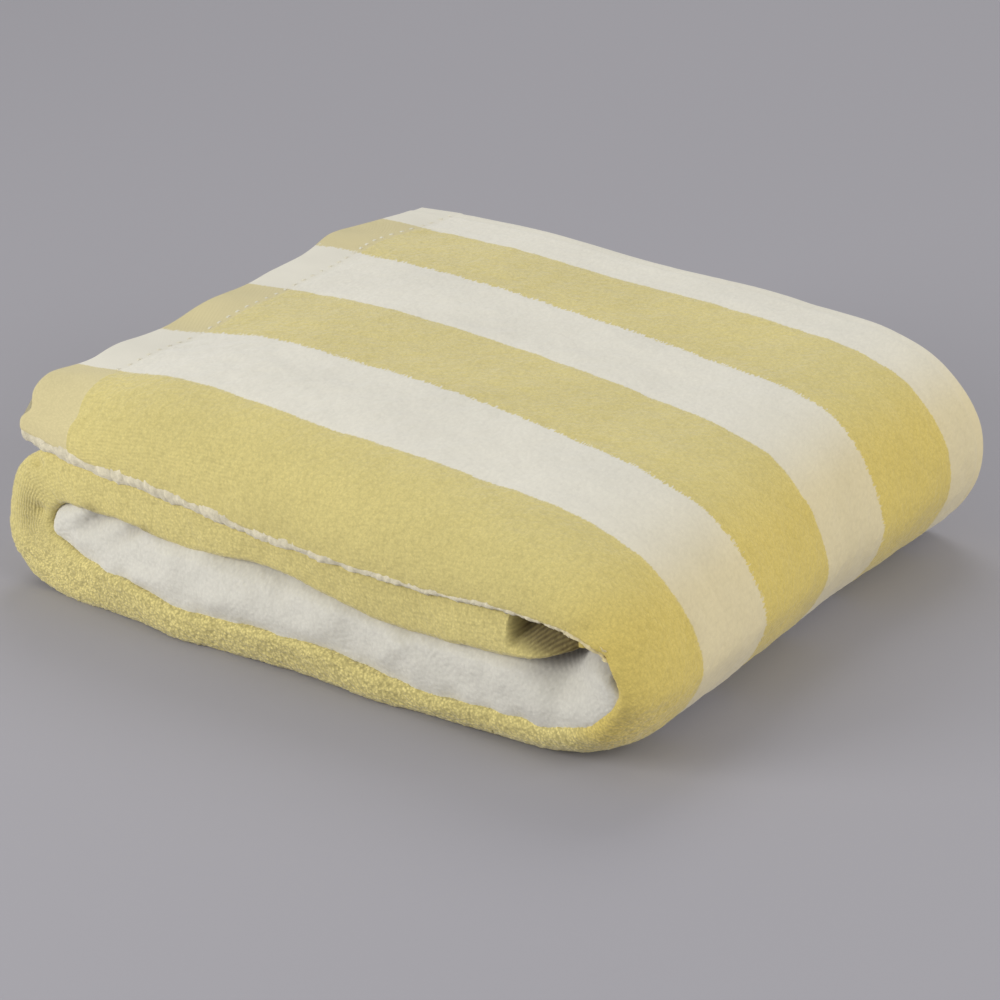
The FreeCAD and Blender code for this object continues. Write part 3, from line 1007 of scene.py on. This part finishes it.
def build_base():
    """The bottom, the left fold and the core, which stay put."""
    sheet = Sheet(BASE, BASE_ROWS, seed=4)
    shape_base(sheet)
    shade_base(sheet)
    face, back, inner_face, inner_back = base_plies(sheet)
    x, z = sheet.rows[:, 0], sheet.rows[:, 1]
    order = np.arange(len(x))
    left = first_station((x < -128) & (z < 10))
    core = first_station((x > -128) & (z > 60) & (order > left))
    end = first_station((x > 118) & (order > core))
    low = first_station((x < 118) & (order > end + 4))
    tail = first_station((x < -10) & (order > low))
    last = len(x) - 1

    def outer(name, i0, i1, bands, slot, material, *nodes):
        solid = stretch(sheet, i0, i1, bands, face, back)
        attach(make_piece(name, solid, material, nodes), "base")

    def inner(name, i0, i1, *nodes):
        solid = stretch(sheet, i0, i1, BEHIND_FRONT, inner_face, inner_back)
        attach(make_piece(name, solid, reverse, nodes), "base")

    looped = ("velour_yellow", loop_pile)
    yellow = ("velour_yellow", velour)
    white = ("velour_white", velour)
    hem = ("flat_weave_white", hem_cloth)
    inside = ("terry_inside", velour)
    yellow_and_front = YELLOW_BANDS + FRONT_BAND
    white_and_side = WHITE_BANDS + SIDE_BAND
    outer("bottom_front_stripe", 0, left, FRONT_BAND, *looped, "bottom_front_stripe_yellow")
    outer("bottom_white_stripes", 0, left, WHITE_BANDS, *white, "bottom_stripes_white")
    outer("bottom_yellow_stripes", 0, left, YELLOW_BANDS, *yellow, "bottom_stripes_yellow")
    outer("bottom_side_hem_band", 0, left, SIDE_BAND, *hem, "bottom_side_hem")
    inner("bottom_upper_sheet", 0, left, "bottom_upper_ply")
    outer("left_fold_yellow_stripes", left, core, yellow_and_front, *yellow, "left_fold_yellow")
    outer("left_fold_white_stripes", left, core, white_and_side, *white, "left_fold_white")
    inner("left_fold_reverse", left, core)
    outer("core_yellow_stripes", core, end, yellow_and_front, *yellow, "core_upper_layer_yellow")
    outer("core_white_stripes", core, end, white_and_side, *white, "core_upper_layer_white")
    inner("core_reverse", core, end)
    outer("core_end_roll", end, low, WHOLE_WIDTH, *inside, "core_end_fold", "core_end_fold_front")
    outer("core_lower_sheet", low, tail, WHOLE_WIDTH, *inside, "core_lower_layer", "core_end_hem")
    outer("core_tail_sheet", tail, last, WHOLE_WIDTH, *inside, "core_tail")


# ---------------------------------------------------------------- the white layer in the hollow

# Its top and underside along the front, its ends, its back edge, and where its front meets its body.
WHITE_TOP_X = (-157, -140, -124, -88, -64, -8, 47, 99, 119, 134, 150, 159)
WHITE_TOP_Z = (44, 52, 51, 49, 52, 49, 43, 47, 51, 58, 54, 44)
WHITE_LOW_X = (-157, -140, -126, -66, -8, 46, 99, 119, 139, 150, 159)
WHITE_LOW_Z = (26, 20, 14, 8, 9, 6, 9, 10, 14, 22, 32)
WHITE_LEFT = -157.0
WHITE_RIGHT = 159.0
WHITE_BACK = 143.0
WHITE_JOIN = -124.0

# How far the front swells out along its length.
SWELL_X = (-156, -120, -60, 0, 50)
SWELL = (-2.5, -6, -6, -3, -0.5)


def round_nose(share):
    """Height of a round nose: full at zero or less, almost nothing at one."""
    return (1 - np.clip(share, 0, 0.998) ** 2.5) ** 0.4


def white_outline(x):
    """Middle height and half thickness of the white layer along the front, with rounded ends."""
    top = np.interp(x, WHITE_TOP_X, WHITE_TOP_Z)
    low = np.interp(x, WHITE_LOW_X, WHITE_LOW_Z)
    ends = round_nose((x - 142) / 17.0) * round_nose((-149 - x) / 8.0)
    return ((top + low) / 2)[:, None], ((top - low) / 2 * ends)[:, None]


def plain_attributes(cloth, tip, deep, facing):
    """Attributes of plain white pile, which has no stripes."""
    none = np.zeros(tip.shape)
    made = {key: none for key in ("tuft", "painted_warm_light", "rib")}
    made.update(stripe=none - 20, coarse=none + 0.12, tip=tip, deep=deep, cloth=cloth, facing=facing)
    return made


def white_front():
    """The front of the white layer, which swells out between the core and the bottom band."""
    x = np.linspace(WHITE_LEFT, WHITE_RIGHT, int((WHITE_RIGHT - WHITE_LEFT) / FINE))
    turn = np.linspace(-0.5, 0.5, int(46 / FINE))
    mid, half = white_outline(x)
    z = mid + half * 2 * turn[None, :]
    xs = np.broadcast_to(x[:, None], z.shape)
    swell = np.interp(x, SWELL_X, SWELL)[:, None] * smooth(turn, 0.5, -0.1)[None, :]
    valleys = (bump(xs - z, -172, 5) + bump(xs - z, -150, 5)) * smooth(z, 30, 48)
    tips = loops(xs, z, WHITE_LOOPS, 63) - 0.5

    # A barrel, swollen and lumpy, that draws back at its ends, under the core's dent, along its top and
    # in two slanting valleys.
    y = -148.5 + 7 * np.abs(turn[None, :] * 2) ** 3 + swell
    y = y - 2.4 * noise(xs / 24, z / 15, 0, 61) - 1.2 * noise(xs / 9, z / 8, 0, 62)
    y = y + 4 * bump(xs, -157, 4) + 4 * bump(xs, 160, 6) + 10 * bump(xs, 127, 13) * smooth(z, 24, 44)
    y = y + 3.5 * smooth(turn[None, :], 0.22, 0.42) * smooth(xs, -110, -60)
    y = y + 4 * valleys - 0.55 * tips

    # Painted shade along the top, under the dent and in the valleys.
    shade = 0.45 * smooth(turn[None, :], 0.30, 0.46) + 0.35 * valleys
    shade = shade + 0.75 * bump(xs, 122, 13) * smooth(turn[None, :], 0.05, 0.40)
    shade = np.minimum(shade, 1.0)

    face = np.stack([xs, y, z], axis=-1)[:, ::-1]
    few = np.arange(0, len(turn), 3)
    back = face[:, few].copy()
    back[..., 1] = WHITE_JOIN + 6
    back[..., 2] = mid + (back[..., 2] - mid) * 0.95
    cloth = np.stack([xs, z, np.full(z.shape, 7.0)], axis=-1)[:, ::-1]
    front = plain_attributes(cloth, 0.25 * tips[:, ::-1], shade[:, ::-1], facing_of(face))
    behind = {key: value[:, few] for key, value in front.items()}
    behind["facing"] = -facing_of(back)
    return slab(face, back, front, behind)


def white_body():
    """The rest of the white layer, back to the far edges of the other plies."""
    x = np.concatenate([
        WHITE_LEFT + 10 * (1 - np.cos(np.linspace(0, math.pi / 2, 14)))[:-1],
        np.arange(WHITE_LEFT + 10, 138, FIELD * 1.5),
        WHITE_RIGHT - 20 * (1 - np.sin(np.linspace(0, math.pi / 2, 22))),
    ])
    y = np.arange(WHITE_BACK, WHITE_JOIN, -FIELD)
    mid, half = white_outline(x)
    xs = np.broadcast_to(x[:, None], (len(x), len(y)))
    ys = np.broadcast_to(y[None, :], xs.shape)
    puff = 0.9 + 0.7 * noise(xs / 26, ys / 22, 1, 64) + 0.3 * noise(xs / 4, ys / 4, 1, 65)
    lead = smooth(ys, WHITE_JOIN + 14, WHITE_JOIN)
    edge = round_nose(1 - (WHITE_BACK - y) / 8)[None, :] * (1 - 0.03 * lead)
    top = np.stack([xs, ys, mid + (half + puff * (1 - lead) * (half > 4)) * edge], axis=-1)
    low = np.stack([xs, ys, mid - half * edge], axis=-1)
    cloth = np.stack([xs, ys, np.full(xs.shape, 9.0)], axis=-1)
    none = np.zeros(xs.shape)
    above = plain_attributes(cloth, none, none, facing_of(top))
    below = plain_attributes(cloth, none, none, -facing_of(low))
    return slab(top, low, above, below)


def build_inner_white():
    """The thick white layer that fills the fold."""
    solid = join([white_front(), white_body()])
    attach(make_piece("inner_white_pile", solid, snow, ["inner_white_layer"]), "base")


build_wrap()
build_base()
build_inner_white()

# ---------------------------------------------------------------- floor, light and camera

FLOOR_HALF = 6
FLOOR_COLOUR = (0.39, 0.38, 0.41, 1.0)
WORLD_COLOUR = (1.0, 1.0, 1.0, 1.0)
WORLD_STRENGTH = 0.44

# Each lamp: its place, the point it faces, its diameter and its power.
LAMPS = {
    "key": ((-0.85, -1.3, 0.55), (0, 0, 0.05), 0.9, 15.0),
    "side": ((1.7, 0.1, 0.75), (0, 0, 0.05), 1.6, 16.5),
    "back": ((-0.8, 1.5, 1.9), (0, 0.3, 0.0), 1.4, 14.0),
}

CAMERA_PLACE = (0.7437, -1.0378, 0.6069)
CAMERA_AZIMUTH = math.radians(36.0)
CAMERA_PITCH = math.radians(24.2)
SENSOR_WIDTH = 36.0
LENS = 108.0


def place(name, data, location, look):
    """Puts a lamp or the camera in the scene, facing along the look direction."""
    made = bpy.data.objects.new(name, data)
    made.location = location
    made.rotation_mode = "QUATERNION"
    made.rotation_quaternion = look.to_track_quat("-Z", "Y")
    bpy.context.scene.collection.objects.link(made)
    return made


def build_floor():
    mesh = bpy.data.meshes.new("floor")
    corners = [(-1, -1), (1, -1), (1, 1), (-1, 1)]
    mesh.from_pydata([(x * FLOOR_HALF, y * FLOOR_HALF, 0) for x, y in corners], [], [(0, 1, 2, 3)])
    floor = bpy.data.objects.new("floor", mesh)
    bpy.context.scene.collection.objects.link(floor)
    material, shader = new_material("studio_floor")
    shader.inputs["Base Color"].default_value = FLOOR_COLOUR
    shader.inputs["Roughness"].default_value = 0.9
    shader.inputs["Specular IOR Level"].default_value = 0.1
    mesh.materials.append(material)


def build_light():
    world = bpy.data.worlds.new("studio")
    bpy.context.scene.world = world
    world.use_nodes = True
    background = world.node_tree.nodes["Background"]
    background.inputs["Color"].default_value = WORLD_COLOUR
    background.inputs["Strength"].default_value = WORLD_STRENGTH
    for name, (location, target, diameter, power) in LAMPS.items():
        lamp = bpy.data.lights.new(name, "AREA")
        lamp.shape = "DISK"
        lamp.size = diameter
        lamp.energy = power
        place(name, lamp, location, Vector(target) - Vector(location))
    bpy.context.scene.view_settings.view_transform = "Standard"


def build_camera():
    camera = bpy.data.cameras.new("camera")
    camera.sensor_width = SENSOR_WIDTH
    camera.lens = LENS
    level = math.cos(CAMERA_PITCH)
    look = Vector((
        -math.sin(CAMERA_AZIMUTH) * level,
        math.cos(CAMERA_AZIMUTH) * level,
        -math.sin(CAMERA_PITCH),
    ))
    bpy.context.scene.camera = place("camera", camera, CAMERA_PLACE, look)


build_floor()
build_light()
build_camera()
